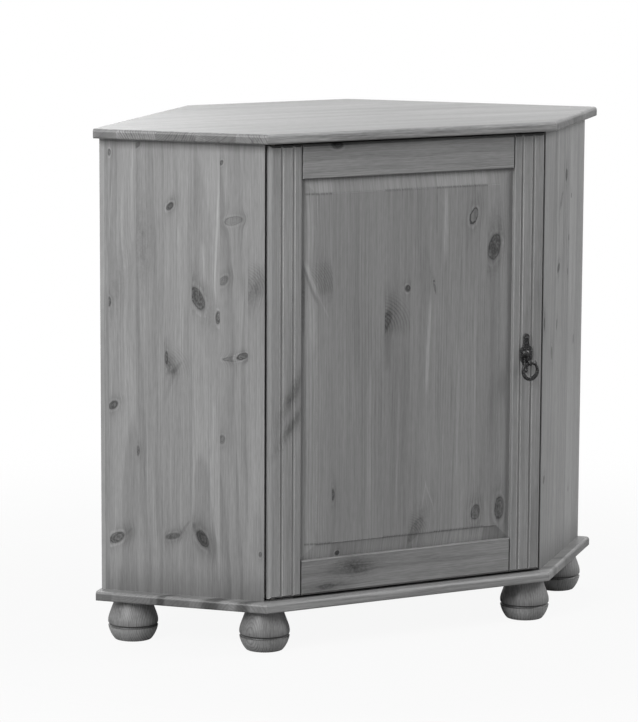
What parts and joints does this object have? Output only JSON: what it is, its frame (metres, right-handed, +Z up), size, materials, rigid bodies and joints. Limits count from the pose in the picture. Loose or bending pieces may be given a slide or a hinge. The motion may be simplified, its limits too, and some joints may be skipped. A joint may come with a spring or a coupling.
{
  "type": "corner cupboard",
  "caption": "Hexagonal pine corner cupboard with a framed raised-panel door, turned bun feet and a dark ring pull, to stand in the corner of a room.",
  "frame": {"origin": "on the floor under the middle of the plan of the top and base boards", "axes": "+X to the right along the front, +Y from the front towards the room's corner, +Z up; the door faces -Y"},
  "size_m": [0.9, 0.5057, 0.8],
  "materials": {
    "stained_pine": "grey stain under satin lacquer",
    "back_plywood": "thin plywood, sealed",
    "beech_dowel": "bare turned wood",
    "dark_iron": "antique black, worn on high spots",
    "bright_steel": "zinc plated",
    "brass_washer": "turned",
    "catch_plastic": "moulded, fine texture",
    "magnet_steel": "ground pole plates"
  },
  "bodies": {
    "carcass": {"back_panel_screws": "bright_steel", "base_board": "stained_pine", "base_dowels": "beech_dowel", "board_leaf_bottom": "bright_steel", "board_leaf_screws": "bright_steel", "board_leaf_top": "bright_steel", "catch_body": "catch_plastic", "catch_magnet": "magnet_steel", "catch_screws": "bright_steel", "foot_dowels": "beech_dowel", "foot_front_left": "stained_pine", "foot_front_right": "stained_pine", "foot_rear_left": "stained_pine", "foot_rear_right": "stained_pine", "foot_side_left": "stained_pine", "foot_side_right": "stained_pine", "hinge_pin_bottom": "bright_steel", "hinge_pin_top": "bright_steel", "hinge_washer_bottom": "brass_washer", "hinge_washer_top": "brass_washer", "rear_panel": "back_plywood", "rear_post_left": "stained_pine", "rear_post_right": "stained_pine", "shelf": "stained_pine", "shelf_pins": "bright_steel", "side_panel_left": "stained_pine", "side_panel_right": "stained_pine", "top_board": "stained_pine", "top_dowels": "beech_dowel", "wall_panel_left": "back_plywood", "wall_panel_right": "back_plywood"},
    "door": {"door_leaf_bottom": "bright_steel", "door_leaf_screws": "bright_steel", "door_leaf_top": "bright_steel", "door_panel": "stained_pine", "handle_backplate": "dark_iron", "handle_nut": "bright_steel", "handle_pins": "dark_iron", "handle_post": "dark_iron", "handle_washer": "bright_steel", "rail_bottom": "stained_pine", "rail_top": "stained_pine", "stile_left": "stained_pine", "stile_right": "stained_pine", "strike_plate": "bright_steel", "strike_screw": "bright_steel"},
    "ring": {"handle_ring": "dark_iron"}
  },
  "joints": [
    {"name": "door_hinge", "type": "hinge", "parent": "carcass", "child": "door", "pos_m": [-0.23213, -0.2265, 0.4325], "axis": [0, 0, -1], "range_deg": [0, 110]},
    {"name": "ring_swing", "type": "hinge", "parent": "door", "child": "ring", "pos_m": [0.21062, -0.2505, 0.4219], "axis": [-1, 0, 0], "range_deg": [-20, 190]}
  ]
}
